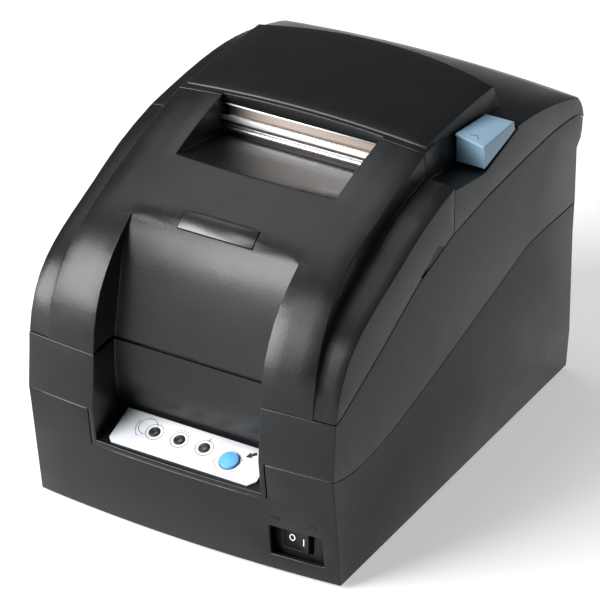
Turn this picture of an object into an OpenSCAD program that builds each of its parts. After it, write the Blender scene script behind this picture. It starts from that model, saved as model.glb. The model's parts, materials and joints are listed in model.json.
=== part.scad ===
// Impact receipt printer with a hinged ribbon cover and a hinged paper-roll cover.
// The shapes are drawn with y counted from the front bottom edge and z from the case's
// lower rim; place() then moves them to the origin under the middle of the feet.

/* [Case] */
// Width of the case across its flat sides
case_w = 152; // [150:1:158]
// Thickness of the plastic walls
wall = 2.5; // [2.2:0.1:2.8]
// Gap between a cover and the case
seam_gap = 0.4; // [0.3:0.05:0.5]
// Height of the rubber feet
foot_h = 2; // [1.5:0.1:3]
// Radius of a rubber foot
foot_r = 7; // [5:0.5:8]
// Place of the back wall, from the front edge
back_y = 212.5; // [210:0.5:216]
// Radius of the bow of the front, seen from above
front_bow_r = 722; // [600:10:900]

/* [Covers] */
// Radius of the crown of the front cover
cover_crown_r = 440; // [400:10:520]
// Radius of the crown of the rear shoulder
shoulder_crown_r = 656; // [560:10:760]
// Width of the sunk shoulder beside the raised middle
shoulder_w = 14.5; // [13:0.5:15]
// Place of the split between the two covers
split_y = 95; // [94.5:0.1:95.5]
// Width of the recess in the front
recess_w = 82.4; // [81:0.2:84]
// Width of the paper window
window_w = 79; // [78:0.5:80]
// Width of the hood at its top edge
hood_w = 118; // [116:0.5:119]
// Depth of the finger notches in the sides
notch_depth = 1.7; // [1.2:0.1:1.9]
// Height of the front cover's hinge axis
front_axis_z = 62; // [61.5:0.25:63]
// Height of the rear cover's hinge axis
rear_axis_z = 106; // [105:0.5:107]
// Radius of the hinge pins
hinge_pin_r = 2; // [1.8:0.1:2.2]
// Running clearance of pins and shafts, on the radius
run_gap = 0.05; // [0.03:0.01:0.08]

/* [Lever] */
// Width of the cover-open lever
lever_w = 14.2; // [13.6:0.1:14.4]
// Length of the lever's top face
lever_l = 28; // [27:0.5:29]
// Radius of the lever's pin
lever_pin_r = 1.2; // [1:0.1:1.4]

/* [Controls] */
// Width of the control label
label_w = 73.2; // [72:0.2:75]
// Length of the control label up its slope
label_l = 19; // [18:0.5:19.5]
// Thickness of the control label
label_t = 0.8; // [0.5:0.1:1]
// Slope of the control label
label_tilt = 22; // [20:1:24]
// Spacing of the indicator lamps
lamp_pitch = 12.5; // [12:0.1:13]
// Radius of an indicator lamp
lamp_r = 2.1; // [1.9:0.1:2.3]
// Radius of the feed button
button_r = 4.3; // [4:0.1:4.5]
// Travel of the feed button
button_travel = 0.8; // [0.5:0.1:0.9]
// Width of the switch recess
switch_w = 25; // [24:0.5:26]
// Height of the switch recess
switch_h = 15.6; // [15:0.2:16]
// Width of the rocker
rocker_w = 13.5; // [12.5:0.5:14.5]
// Height of the rocker
rocker_h = 10; // [9.5:0.1:11]

/* [Print mechanism] */
// Distance between the outer faces of the mechanism's side plates
frame_w = 117; // [116:0.5:118]
// Thickness of the side plates
plate_t = 2; // [1.5:0.1:2.2]
// Radius of the carriage shaft
rail_r = 4; // [3.5:0.1:4.2]
// Width of the carriage
carriage_w = 30; // [28:0.5:31]
// Pitch radius of the belt pulleys
pulley_r = 6; // [5.5:0.1:6.2]
// Radius of the feed roller
roller_r = 6; // [5.8:0.1:6.1]
// Radius of the feed roller's shaft
shaft_r = 3; // [2.8:0.1:3.2]
// Radius of the pinch rollers
pinch_r = 4; // [3.8:0.1:4.2]
// Module of the gears
gear_module = 0.8; // [0.78:0.01:0.82]
// Width of the gears
gear_w = 4; // [3.5:0.1:4.5]
// Radius of the paper motor
motor_r = 17.5; // [16:0.5:18]
// Largest paper roll's radius plus its clearance
cradle_r = 42; // [41:0.5:43]
// Width of the paper roll's space
cradle_w = 80; // [79:0.5:81]

/* [Hidden] */

charcoal = [0.13, 0.135, 0.14];
half_w = case_w / 2;
inner_w = half_w - wall;
main_half = half_w - shoulder_w;
recess_half = recess_w / 2;
window_half = window_w / 2;
hood_half = hood_w / 2;
far = 400;
steps = 10;
round_fn = 64;
front_tilt = 40;
front_seam_z = 83.2;
panel_y = 8.3;

// Middle of the case's length, where the origin lies
front_reach = 7.6 + (half_w * half_w - pow(recess_half + wall, 2)) / 2 / front_bow_r;
rear_reach = back_y + 5.4;
middle_y = (rear_reach - front_reach) / 2;

// ---------- curves ----------

function bezier(a, b, c, d, n = steps) = [for (i = [0:n])
    let (t = i / n, s = 1 - t)
    s * s * s * a + 3 * s * s * t * b + 3 * s * t * t * c + t * t * t * d];

// The line moved by t to its right-hand side, which is the inside of the case
function inset(line, t) = [for (i = [0:len(line) - 1])
    let (a = line[max(i - 1, 0)], b = line[min(i + 1, len(line) - 1)], d = (b - a) / norm(b - a))
    line[i] + t * [d[1], -d[0]]];

function tail(line) = [for (i = [1:len(line) - 1]) line[i]];

// Raised middle of the front cover, as it is at the middle's edge
main_line = concat([[-7.9, front_seam_z - 6]],
    bezier([-7.4, front_seam_z], [-6.6, 115.2], [16.5, 137.1], [54.2, 147.7]),
    tail(bezier([54.2, 147.7], [66.9, 152.9], [79.8, 157], [split_y, 160.4], 4)), [[split_y + 9, 162.3]]);
// Shoulder of the front cover, at the side
shoulder_line = concat([[-6, front_seam_z - 6]],
    bezier([-5.5, front_seam_z], [-0.8, 119], [23.9, 120.5], [56.9, 136.7]),
    tail(bezier([56.9, 136.7], [68, 142], [80, 145.2], [split_y, 148.4], 3)), [[split_y + 9, 150.1]]);
// Shoulder of the rear cover, at the side, down to its back edge
rear_shoulder_line = concat(bezier([split_y, 148.4], [150.6, 155], [169, 152.9], [206.1, 141.7]),
    [[back_y - 1.4, 139.9], [back_y + 1.4, 136.8], [back_y + 4.1, 132.4], [back_y + 5.4, 128]]);
// Front of the lower part, at the side
front_line = [[0.67, -5], [-7.6, 57.4], [-5.5, front_seam_z + 2], [-5.5, 140]];
// Back wall of the case
back_line = [[back_y - 1.6, 0], [back_y + 0.5, 18], [back_y - 0.6, 70], [back_y, 86],
    [back_y - 0.2, 113.9], [back_y + 3.3, 117.5], [back_y + 4.5, 121.8], [back_y + 4.8, 126.6]];
// Seam between the lower and the upper case
case_seam = concat([[-30, 56.5], [-7.6, 56.5]],
    bezier([-6, 55.6], [10, 50], [30, 51], [64.2, 59.4], 6),
    tail(bezier([64.2, 59.4], [90, 65.5], [130, 76], [164, 85.4], 4)), [[172, 86.3], [240, 85.4]]);
// Seam between the upper case and the covers, along the sides
cover_seam = [[-30, front_seam_z], [-5.5, front_seam_z], [-0.8, 84.5], [15.4, 91.9], [32.5, 99.9],
    [49.8, 108.9], [65.6, 117], [85.5, 122.7], [94, 125.5], [126.9, 129.8], [162.6, 132.1],
    [187.1, 133], [205, 131.9], [back_y - 0.2, 130.6], [back_y + 4.8, 127], [240, 110.5]];
// Back of the recess in the front: the front cover's part, then the case's part
panel_line = bezier([33, 144.3], [16, 134.8], [14, 116], [panel_y, front_seam_z + 1], 12);
niche_line = [[panel_y, front_seam_z + 1], [7.8, 70], [9.2, 58], [12.6, 47.6]];
label_front = [-7.1, 40.9];
bezel_z = 37.9;
// Floor of the paper window
window_floor = [[54.4, 151.4], [66, 148.6], [78, 147.2], [88, 145.4], [96.5, 143.2]];
window_back = 96.5;

// ---------- placing ----------

module place() translate([0, -middle_y, foot_h]) children();

// A side outline (y, z) swept across the width from x = a to x = b
module across(a, b) translate([a, 0, 0]) rotate([90, 0, 90]) linear_extrude(b - a) children();

// An outline (x, z) swept from y = a to y = b
module along(a, b) translate([0, b, 0]) rotate([90, 0, 0]) linear_extrude(b - a) children();

module mirrored() {
    children();
    mirror([1, 0, 0]) children();
}

// A side outline as it is at |x| = at_x, bowed out towards the middle with radius r
// in the direction that leans tilt degrees forward of straight up
module bowed(outline, tilt, r, at_x) {
    lean = [-sin(tilt), cos(tilt)];
    run = [cos(tilt), sin(tilt)];
    turn = asin((half_w + 6) / (r - 230 * sin(tilt)));
    rotate([tilt - 90, 0, 0]) rotate([0, 0, -90]) translate([-r, 0, 0]) rotate([0, 0, -turn])
        rotate_extrude(angle = 2 * turn, $fn = 900)
            polygon([for (p = outline) [norm([r + p * lean, at_x]), p * run]]);
}

// A cylinder along x from a to b
module rod(a, b, r) translate([a, 0, 0]) rotate([0, 90, 0]) cylinder(h = b - a, r = r, $fn = round_fn);

module at(y, z) translate([0, y, z]) children();

module slab(a, b) translate(a) cube(b - a);

// ---------- the case ----------

module below(seam, drop) polygon(concat([for (p = seam) [p[0], p[1] - drop]], [[240, -40], [-30, -40]]));

module above(seam, lift) polygon(concat([for (p = seam) [p[0], p[1] + lift]], [[240, far], [-30, far]]));

// Side outline of the case, moved in by t at the back
module case_side(t) polygon(concat([[-30, 0], back_line[0] - [t, 0]],
    [for (p = tail(back_line)) p - [t, 0]], [[back_y + 4.8 - t, 200], [-30, 200]]));

// The closed outer form of both case shells, moved in by t
module case_solid(t) intersection() {
    bowed(concat(inset(front_line, t), [[240, 140], [240, -5]]), 90, front_bow_r, half_w);
    across(-half_w + t, half_w - t) case_side(t);
}

module notch(spare) slab([-recess_half - wall - spare, -30, bezel_z - spare],
    [recess_half + wall + spare, 2.4, 57 + seam_gap]);

port_z = 22;
port_h = 16;
ports = [[-52, 17], [-20, 42], [24, 16]];

switch_x = half_w - 19.8;
switch_z = 16;

module lower_case() place() color(charcoal) {
    difference() {
        intersection() {
            case_solid(0);
            across(-half_w, half_w) below(case_seam, 0);
        }
        intersection() {
            case_solid(wall);
            slab([-half_w, -30, wall], [half_w, 230, 100]);
        }
        notch(seam_gap);
        translate([switch_x, 0, switch_z]) slab([-switch_w / 2, -20, -switch_h / 2],
            [switch_w / 2, 6, switch_h / 2]);
        for (p = ports) slab([p[0] - p[1] / 2, back_y - 8, port_z - port_h / 2],
            [p[0] + p[1] / 2, back_y + 8, port_z + port_h / 2]);
        for (x = [-1, 1], y = screw_rows) translate([x * screw_x, y, -1])
            cylinder(h = wall + 2, r = screw_r + 0.3, $fn = round_fn);
    }
    // Bosses that carry the mechanism and the board
    for (x = [-1, 1], y = frame_feet) translate([x * (frame_w / 2 - 4), y, wall]) difference() {
        cylinder(h = frame_z - wall, r = 4, $fn = round_fn);
        translate([0, 0, 2]) cylinder(h = 20, r = 1.5, $fn = round_fn);
    }
    for (x = [-1, 1], y = board_rows) translate([x * board_hole_x, y, wall])
        cylinder(h = board_z - wall, r = 3, $fn = round_fn);
}

screw_x = half_w - 12;
screw_rows = [46, 176];
screw_r = 2;
frame_z = 10;
frame_feet = [36, 106];
board_z = 8;
board_rows = [128, 188];
board_hole_x = 30;

hinge_cheek = 56;
rear_axis_y = back_y - 4;
barrel_r = 4;
front_axis_y = 1;

module upper_case() place() color(charcoal) {
    difference() {
        intersection() {
            difference() {
                case_solid(0);
                difference() {
                    intersection() {
                        case_solid(wall);
                        slab([-half_w, -30, bezel_z - 5], [half_w, 240, 190]);
                    }
                    across(-recess_half - wall, recess_half + wall) niche_outline(wall);
                }
                across(-recess_half, recess_half) niche_outline(0);
            }
            union() {
                across(-half_w - 1, half_w + 1) above(case_seam, 0);
                notch(0);
                across(-recess_half - wall, recess_half + wall) niche_outline(wall + 0.2);
            }
            across(-half_w - 1, half_w + 1) below(cover_seam, 0);
        }
        // The middle of the rear wall is low, for the rear cover's skirt
        slab([-hinge_cheek - seam_gap, back_y - 14, rear_axis_z - barrel_r - 2 * seam_gap],
            [hinge_cheek + seam_gap, back_y + 20, 200]);
        control_holes(0.15);
        at(rear_axis_y, rear_axis_z) rod(-hinge_cheek - 7.7, hinge_cheek + 7.7, hinge_pin_r + run_gap);
    }
    // Bosses for the front cover's stub pins
    mirrored() at(front_axis_y, front_axis_z) difference() {
        rod(stub_x + 0.4, inner_w + 0.5, 4.5);
        rod(stub_x, inner_w + 2, hinge_pin_r + run_gap);
        slab([0, -20, -20], [90, -3.4, 20]);
    }
    // Cheeks for the rear hinge pin
    mirrored() difference() {
        at(rear_axis_y, rear_axis_z) rod(hinge_cheek + seam_gap, hinge_cheek + 6, barrel_r);
        at(rear_axis_y, rear_axis_z) rod(0, half_w - 6, hinge_pin_r + run_gap);
    }
    mirrored() slab([hinge_cheek + 5.9, rear_axis_y - 2.5, rear_axis_z - 14],
        [hinge_cheek + 8, back_y - wall + 0.2, rear_axis_z - 3.9]);
    // Catch pins for the latch
    mirrored() at(latch_y + 5, latch_z) rod(latch_x - 1, inner_w + 0.5, 2);
    // Columns that take the case screws
    for (k = [0, 1]) let (y = screw_rows[k], top = [76, 104][k]) mirrored() difference() {
        along(y - 3.5, y + 3.5) polygon([[screw_x - 3.5, wall + 0.4], [screw_x + 3.5, wall + 0.4],
            [screw_x + 3.5, top - 18], [inner_w + 0.3, top - 12], [inner_w + 0.3, top], [screw_x - 3.5, top]]);
        translate([screw_x, y, 0]) cylinder(h = 9, r = screw_r, $fn = round_fn);
    }
    // Posts under the shelf that carry the control board
    on_label() for (x = [-31, 31]) translate([x, 3, -6.9]) cylinder(h = 4.9, r = 2, $fn = round_fn);
}

// The niche behind the front face: shelf, back and open front, grown by t
module niche_outline(t) {
    top = front_seam_z + (t > 0 ? 0 : 20);
    polygon(concat([[-30, top], [panel_y + t, top]],
        [for (p = niche_line) if (p[1] < front_seam_z) p + [t, 0]],
        [label_back + [t, -t - 0.6], label_front + [0, -t - 0.6]],
        [label_front - [0.9, t + 0.6], label_front - [30, t + 0.6]]));
}

label_dir = [cos(label_tilt), sin(label_tilt)];
label_back = label_front + (label_l + 2.2) * label_dir;
label_mid = label_front + (label_l / 2 + 0.4) * label_dir;

// Moves a child to the label's face: x across, y up the slope, z out of the face
module on_label() translate([0, label_mid[0], label_mid[1]]) rotate([label_tilt, 0, 0]) children();

lamp_row = 1.6;
lamp_x = [-18.7, -18.7 + lamp_pitch, -18.7 + 2 * lamp_pitch];
button_x = 20.2;
button_row = -0.8;

module control_holes(spare) on_label() {
    for (x = lamp_x) translate([x, lamp_row, -12]) cylinder(h = 20, r = lamp_r + spare, $fn = round_fn);
    translate([button_x, button_row, -12]) cylinder(h = 20, r = button_r + spare, $fn = round_fn);
}

// ---------- the covers ----------

// Raised middle, which widens towards the bottom, moved in by t
module main_prism(t) along(-40, 240) polygon([for (side = [1, -1])
    let (edge = [[main_half + 4.5, 60], [main_half + 4, 98], [main_half + 2.5, 118],
        [main_half, 140], [main_half, 200]])
    for (i = [0:4]) let (q = edge[side > 0 ? i : 4 - i]) [side * (q[0] - t), q[1]]]);

module front_bulk(t) {
    intersection() {
        bowed(concat(inset(main_line, t), [[split_y + 9, 72]]), front_tilt, cover_crown_r, main_half);
        main_prism(t);
    }
    intersection() {
        bowed(concat(inset(shoulder_line, t), [[split_y + 9, 70]]), front_tilt, cover_crown_r, half_w);
        slab([-half_w + t, -40, 50], [half_w - t, split_y + 5, 200]);
    }
}

// Recess in the front cover between its pillars, grown by t
module recess_cut(t) across(-recess_half - t, recess_half + t)
    polygon(concat([[-40, 60], [-40, 160], [panel_line[0][0] + t, 160]], inset(panel_line, -t),
        [[panel_y + t, 60]]));

module window_cut(t) across(-window_half - t, window_half + t)
    polygon(concat([for (p = window_floor) p - [0, t]],
        [[window_back + 20, 143.2 - t], [window_back + 20, 200], [54.4, 200]]));

// A notch that gets deeper from the cover's bottom edge up to its tip
module finger_notch() mirrored() translate([half_w, 66, 117.4]) rotate([16.3, 0, 0]) intersection() {
    across(-4, 5) polygon([[-3, -1], [17, notch_h], [22.5, -1]]);
    along(-4, 24) polygon([[notch_depth / notch_h, -1], [-notch_depth, notch_h],
        [-notch_depth, notch_h + 1], [5, notch_h + 1], [5, -1]]);
}

notch_h = 4.8;

module under_cover(reach) {
    // Along the sides the cover ends at the seam; inside it ends level
    mirrored() across(inner_w - 0.6, half_w + 1) below(cover_seam, -seam_gap);
    slab([-inner_w + 0.5, -40, 0], [inner_w - 0.5, reach, front_seam_z + seam_gap]);
}

module front_cover() place() color(charcoal) difference() {
    union() {
        front_bulk(0);
    }
    difference() {
        front_bulk(wall);
        recess_cut(wall);
        window_cut(wall);
    }
    recess_cut(0);
    window_cut(0);
    under_cover(split_y + 10);
    slab([-half_w - 1, split_y - seam_gap / 2, 0], [half_w + 1, split_y + 40, far]);
    finger_notch();
    // The bottom edge is hollowed so that it can swing out over the case
    mirrored() at(front_axis_y, front_axis_z) translate([recess_half - 1, 0, 0]) rotate([0, 90, 0])
        cylinder(h = half_w - recess_half + 2, r1 = swing_r(recess_half - 1), r2 = swing_r(half_w + 1),
            $fn = round_fn);
    plate_seat(0.8) plate_block(0);
}

// Distance from the hinge axis to the case's front top edge at x, and a little more
function swing_r(x) = 0.15 + norm([front_axis_y + 5.5 + (half_w * half_w - x * x) / 2 / front_bow_r,
    front_seam_z - front_axis_z]);

// The bare plate lies on the slope of the front cover's middle
plate_w = 37;
plate_h = 8.4;
plate_t2 = 0.8;
plate_y = 26.5;
plate_z = 139.5;
plate_slope = 41;
module plate_seat(sink) translate([0, plate_y, plate_z]) rotate([plate_slope, 0, 0])
    translate([0, 0, -sink]) children();
module plate_block(t) slab([-plate_w / 2 + t, -plate_h / 2 + t, 0], [plate_w / 2 - t, plate_h / 2 - t, 6]);

module name_plate() place() color("black") plate_seat(0.8)
    slab([-plate_w / 2 + 0.1, -plate_h / 2 + 0.1, 0], [plate_w / 2 - 0.1, plate_h / 2 - 0.1, plate_t2 + 0.2]);

stub_x = inner_w - 3.3;
arm_x = stub_x - 3.8;
// Goose-neck arms that carry the front cover round the case's front edge
module front_hinge_arms() place() color("dimgray") mirrored() {
    across(arm_x, stub_x)
        polygon([[front_axis_y - 3.4, front_axis_z - 1], [front_axis_y - 2.4, front_axis_z - 3.4],
            [front_axis_y + 3, front_axis_z - 4], [32, 62], [36.6, 70], [32.5, 90],
            [19, 104.2], [13.5, 98.4], [26.5, 86], [29.5, 72], [26, 69],
            [front_axis_y + 3, front_axis_z + 3.2], [front_axis_y - 2, front_axis_z + 3]]);
    at(front_axis_y, front_axis_z) rod(stub_x - 0.2, inner_w - 0.3, hinge_pin_r);
    slab([arm_x, 13.5, 98.4], [stub_x, 19.4, 104.4]);
    across(arm_x, stub_x) polygon([[13.5, 104], [17, 104], [17, 115.8], [13.5, 113.3]]);
}

hood_front_y = 98.4;
hood_front_r = 2400;
hood_rear_y = 167.4;
hood_bow_r = 198;
hood_line = concat([[split_y + wall + 0.2, 161.5], [hood_front_y + 0.5, 161.6]],
    tail(bezier([hood_front_y + 0.5, 161.6], [116, 163.6], [136, 165], [172, 163.6], 8)));

module hood_block(t) intersection() {
    bowed(concat(inset(hood_line, t), [[172, 140], [split_y + wall + 0.2, 140]]), 0, cover_crown_r,
        hood_half);
    along(80, 180) polygon([[-hood_half + t, 172], [hood_half - t, 172], [hood_half + 2 - t, 144],
        [-hood_half - 2 + t, 144]]);
    // Slightly bowed bevel at the front and steep bowed step at the back
    translate([0, hood_front_y + hood_front_r, 144]) cylinder(h = 30, r1 = hood_front_r + 5.6 - t,
        r2 = hood_front_r - 3.9 - t, $fn = 900);
    translate([0, hood_rear_y - hood_bow_r, 146]) cylinder(h = 24, r1 = hood_bow_r + 8.3 - t,
        r2 = hood_bow_r - 1 - t, $fn = 720);
}

module rear_bulk(t) {
    front = split_y + t;
    side = concat(inset(rear_shoulder_line, t), [[back_y + 5.4 - t, 100], [front, 100]]);
    intersection() {
        bowed(side, 0, shoulder_crown_r, half_w);
        slab([-half_w + t, front, 60], [half_w - t, 240, 200]);
    }
    hood_block(t);
    intersection() {
        bowed([[front, 130], [front, 160.4 - t], [105, 161 - t], [112, 156 - t], [112, 130]],
            0, cover_crown_r, main_half);
        slab([-main_half + t, split_y - 1, 60], [main_half - t, 113, 200]);
    }
}

lever_front_y = 122.6;
lever_top_z = 158.6;
lever_lip = 1.4;
lever_axis_y = 147.6;
lever_axis_z = 151.6;
lever_x = half_w - 0.4 - lever_w;

// Scoop in the right shoulder, where a finger reaches under the lever
module lever_cut(t) across(main_half - 0.5 - t, half_w + 1) polygon([[split_y - 1, 147.2 - t],
    [118.5, 143.3 - t], [123.6, 143 - t], [lever_axis_y + 4.6 + t, 150.4 - t],
    [lever_axis_y + 4.6 + t, 200], [split_y - 1, 200]]);

skirt_line = [[back_y + 5.4, 128], [back_y + 3.4, 118], [back_y, 113], [back_y, rear_axis_z]];

module rear_cover() place() color(charcoal) {
    difference() {
        rear_bulk(0);
        difference() {
            rear_bulk(wall);
            lever_cut(wall);
            slab([-window_half - wall, 0, 0], [window_half + wall, strip_y + strip_t + wall, 200]);
        }
        lever_cut(0);
        // The paper slot
        slab([-window_half - 0.3, 0, 0], [window_half + 0.3, strip_y, strip_top]);
        slab([-window_half - 0.3, 0, 0], [window_half + 0.3, split_y + 2, far]);
        slab([-window_half - 0.3, 0, 0], [window_half + 0.3, strip_y + strip_t, strip_top - 0.6]);
        slab([-half_w - 1, 0, 0], [half_w + 1, split_y + seam_gap / 2, far]);
        mirrored() across(hinge_cheek + 0.2, half_w + 1) below(cover_seam, -seam_gap);
        slab([-inner_w + 0.5, 0, 0], [inner_w - 0.5, strip_y + strip_t + wall, strip_low]);
        slab([-inner_w + 0.5, strip_y + strip_t, 0], [inner_w - 0.5, 240, 127 + seam_gap]);
        slab([-inner_w + 0.5, 0, 0], [-window_half - wall, 200, 127.6]);
        slab([window_half + wall, 0, 0], [inner_w - 0.5, 200, 127.6]);
        // Room at the front for the mechanism's side plates and gears
        mirrored() slab([window_half + wall, 0, 0], [main_half - wall, split_y + wall + 0.5, 156.5]);
        mirrored() slab([main_half - wall - 1, 0, 0], [66, split_y + wall + 0.5, 144.4]);
        slab([-window_half - 4.5, 0, 0], [window_half + 4.5, bar_y + 0.5, bar_top + 0.5]);
        // Lever pin's bore
        at(lever_axis_y, lever_axis_z) rod(lever_x - 9.8, half_w - 1.4, lever_pin_r + run_gap);
    }
    // Skirt and barrel at the back
    difference() {
        union() {
            across(-hinge_cheek, hinge_cheek) polygon(concat(skirt_line,
                [for (i = [3:-1:0]) skirt_line[i] - [wall, 0]]));
            at(rear_axis_y, rear_axis_z) rod(-hinge_cheek, hinge_cheek, barrel_r);
        }
        at(rear_axis_y, rear_axis_z) rod(-half_w, half_w, hinge_pin_r + run_gap);
    }
    // Ears inside that carry the latch shaft
    mirrored() difference() {
        slab([hood_half - 4.4, latch_y - 4, latch_axis_z - 5], [hood_half, latch_y + 4, 156]);
        at(latch_y, latch_axis_z) rod(0, half_w, latch_shaft_r + run_gap);
    }
}

strip_y = 100.2;
strip_t = 1;
strip_top = 157.8;
strip_low = 140;

module rear_hinge_pin() place() color("silver")
    at(rear_axis_y, rear_axis_z) rod(-hinge_cheek - 7.5, hinge_cheek + 7.5, hinge_pin_r);

module open_lever() place() color([0.56, 0.70, 0.81]) difference() {
    intersection() {
        translate([lever_x, 0, 0]) across(0, lever_w) polygon([[lever_front_y - 1.2, 144.2],
            [lever_front_y - 1.2, lever_top_z], [lever_front_y - 1.2 + lever_l, lever_top_z - 3.2],
            [lever_front_y - 0.8 + lever_l, lever_top_z - 5],
            [lever_axis_y + 3, 151.2], [lever_axis_y - 2, 149.6]]);
        // The top falls away towards the case's side
        along(100, 170) polygon([[lever_x - 1, 140], [lever_x - 1, lever_top_z + 0.2],
            [lever_x, lever_top_z], [lever_x + lever_w, lever_top_z - 3], [half_w + 2, lever_top_z - 3.5],
            [half_w + 2, 140]]);
    }
    // The top stands out over the front face
    along(100, lever_front_y) polygon([[lever_x - 1, 140], [lever_x - 1, lever_top_z - lever_lip + 0.2],
        [half_w + 2, lever_top_z - lever_lip - 3.5], [half_w + 2, 140]]);
    at(lever_axis_y, lever_axis_z) rod(lever_x - 1, half_w - 1.5, lever_pin_r + run_gap);
}

module lever_pin() place() color("silver")
    at(lever_axis_y, lever_axis_z) rod(lever_x - 8.8, half_w - 1.6, lever_pin_r);

module lever_spring() place() color("gray") at(lever_axis_y, lever_axis_z) difference() {
    rod(lever_x - 8.2, lever_x - 5.6, 2.2);
    rod(lever_x - 10, lever_x, lever_pin_r + run_gap);
}

latch_y = 137;
latch_axis_z = 140.5;
latch_z = 124;
latch_x = half_w - 12;
latch_shaft_r = 2;

// Latch shaft under the hood with a hook at each end
module latch_hooks() place() color("gray") {
    at(latch_y, latch_axis_z) rod(-latch_x - 2, latch_x + 2, latch_shaft_r);
    mirrored() across(latch_x - 2, latch_x + 1) polygon([[latch_y - 2.2, latch_axis_z + 1.9],
        [latch_y + 2.2, latch_axis_z + 1.9], [latch_y + 1.4, latch_z + 3], [latch_y + 1.8, latch_z - 2],
        [latch_y - 1.5, latch_z - 5], [latch_y - 3.5, latch_z - 2]]);
}

// ---------- feet, screws, controls ----------

module rubber_feet() place() color([0.08, 0.08, 0.08]) for (x = [-1, 1], y = [16, 198])
    translate([x * (half_w - 14), y, -foot_h]) cylinder(h = foot_h, r = foot_r, $fn = round_fn);

module case_screws() place() color("silver") for (x = [-1, 1], y = screw_rows)
    translate([x * screw_x, y, -0.9]) difference() {
        union() {
            cylinder(h = 0.9, r = 3.4, $fn = round_fn);
            cylinder(h = 9, r = screw_r, $fn = round_fn);
        }
        slab([-0.4, -2, -1], [0.4, 2, 0.5]);
        slab([-2, -0.4, -1], [2, 0.4, 0.5]);
    }

module label_outline() polygon([[-label_w / 2, -label_l / 2 + 2], [-label_w / 2 + 2, -label_l / 2],
    [label_w / 2 - 3, -label_l / 2], [label_w / 2, -label_l / 2 + 3], [label_w / 2, label_l / 2],
    [-label_w / 2, label_l / 2]]);

module control_label() place() color([0.86, 0.87, 0.88]) difference() {
    on_label() translate([0, 0, -0.55]) linear_extrude(label_t) label_outline();
    control_holes(0.15);
}

module lamp(x) place() color([0.16, 0.16, 0.17]) on_label() translate([x, lamp_row, -6.9])
    cylinder(h = 6.9 + label_t, r = lamp_r, $fn = round_fn);

module feed_button() place() color([0.35, 0.68, 0.88]) on_label() translate([button_x, button_row, 0]) {
    translate([0, 0, -4.6]) cylinder(h = 4.6 + label_t + button_travel, r = button_r, $fn = round_fn);
    translate([0, 0, -5.4]) cylinder(h = 1, r = button_r + 1.2, $fn = round_fn);
}

module control_board() place() color([0.1, 0.35, 0.2]) on_label()
    slab([-34, -5, -8.4], [34, 7, -6.9]);

module switch_housing() place() color([0.05, 0.05, 0.055]) difference() {
    translate([switch_x, 0, switch_z]) slab([-switch_w / 2 - 1.5, 1.4, -switch_h / 2 - 1.5],
        [switch_w / 2 + 1.5, 16, switch_h / 2 + 1.5]);
    translate([rocker_x, 0, switch_z]) {
        slab([-rocker_w / 2 - 0.5, -2, -rocker_h / 2 - 0.5], [rocker_w / 2 + 0.5, 12, rocker_h / 2 + 0.5]);
        translate([0, rocker_y, -rocker_h / 2 - 1.2]) cylinder(h = rocker_h + 2.4, r = 1.2 + run_gap,
            $fn = round_fn);
    }
}

rocker_x = switch_x - 1.6;
rocker_y = 4.4;
rocker_turn = 8;
// Rocker with its left half pressed in
module power_rocker() place() color([0.09, 0.09, 0.1]) translate([rocker_x, rocker_y, switch_z]) {
    end = rocker_w / 2 - 0.4;
    rotate([0, 0, -rocker_turn]) translate([0, 0, -rocker_h / 2]) linear_extrude(rocker_h)
        polygon([[-end, 1.6], [-end, -4.2], [0, -3.1], [end, -4.2], [end, 1.6], [2.6, 3.2], [-2.6, 3.2]]);
    translate([0, 0, -rocker_h / 2 - 1]) cylinder(h = rocker_h + 2, r = 1.2, $fn = round_fn);
}

// ---------- paper path ----------

tooth = 1.2;
// Serrated bar in front of the paper slot
bar_y = 98.6;
bar_top = 152.2;
module tear_bar() place() color("silver") {
    count = floor(2 * (window_half - 1.5) / tooth);
    half = count * tooth / 2;
    along(bar_y - 0.9, bar_y) polygon(concat([[-frame_w / 2 + plate_t, 148.8], [-half, 148.8],
        [half, 148.8], [frame_w / 2 - plate_t, 148.8], [frame_w / 2 - plate_t, bar_top - 1],
        [half, bar_top - 1]], [for (i = [count - 1:-1:0], k = [1, 0])
        [-half + (i + k / 2) * tooth, bar_top - (k > 0 ? 0 : 1)]],
        [[-frame_w / 2 + plate_t, bar_top - 1]]));
}

module guide_bar() place() color("gray") across(-frame_w / 2 + plate_t, frame_w / 2 - plate_t)
    polygon([[97, 144], [bar_y, 144], [bar_y, 147.6], [97.4, 147.6], [97.4, 146.2], [97, 145.8]]);

module paper_strip() place() color([0.45, 0.41, 0.38])
    slab([-window_half + 0.2, strip_y, strip_low], [window_half - 0.2, strip_y + strip_t, strip_top - 0.6]);

platen_y = 101.2;
platen_z = 105;
module platen_bar() place() color("gray") {
    slab([-42, platen_y, platen_z - 4], [42, platen_y + 3, platen_z + 6]);
    mirrored() difference() {
        slab([42, platen_y - 0.8, platen_z - 4], [44, platen_y + 6, 157.2]);
        at(pinch_y, roller_z) rod(0, 90, 1.5 + run_gap);
    }
}

// ---------- print mechanism ----------

deck_z = 74;
roller_y = 92.4;
roller_z = 132;
carriage_y = 72;
carriage_z = 92;

// Side outline of the mechanism's side plates
plate_outline = [[32, frame_z], [110, frame_z], [110, 20], [102, 60], [102, 112], [bar_y, 116],
    [bar_y, bar_top - 1], [94, bar_top - 1], [86, 138], [66, 132], [44, 118], [32, 100]];

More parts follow.
